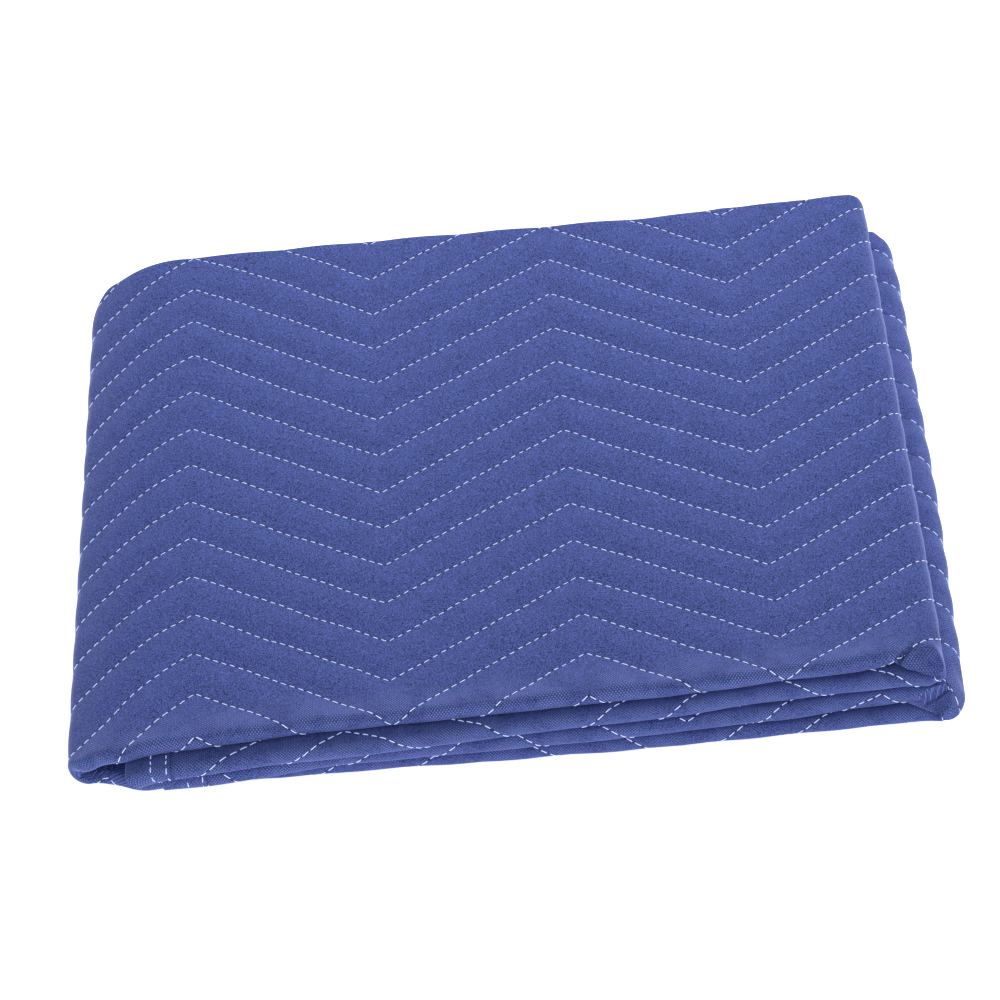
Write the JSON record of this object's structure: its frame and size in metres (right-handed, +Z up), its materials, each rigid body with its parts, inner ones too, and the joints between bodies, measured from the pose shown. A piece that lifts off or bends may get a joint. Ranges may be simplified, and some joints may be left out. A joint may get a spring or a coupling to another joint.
{
  "type": "folded moving blanket",
  "caption": "Quilted moving blanket folded flat into a low rectangular stack, with a binding tape on each cloth end, for padding goods.",
  "frame": {"origin": "middle of the folded stack's bounding box, on its flat underside, at its bottom", "axes": "+Z up through the stack's layers, its shortest extent; +X along its longest side, towards the double folds; +Y to the back, away from the side with the rounded front folds"},
  "size_m": [0.5311, 0.4828, 0.0456],
  "materials": {
    "quilted_cloth": "brushed",
    "binding_tape": "woven"
  },
  "bodies": {
    "root": {"blanket": "quilted_cloth", "binding_upper_end": "binding_tape", "binding_lower_end": "binding_tape"}
  },
  "joints": []
}
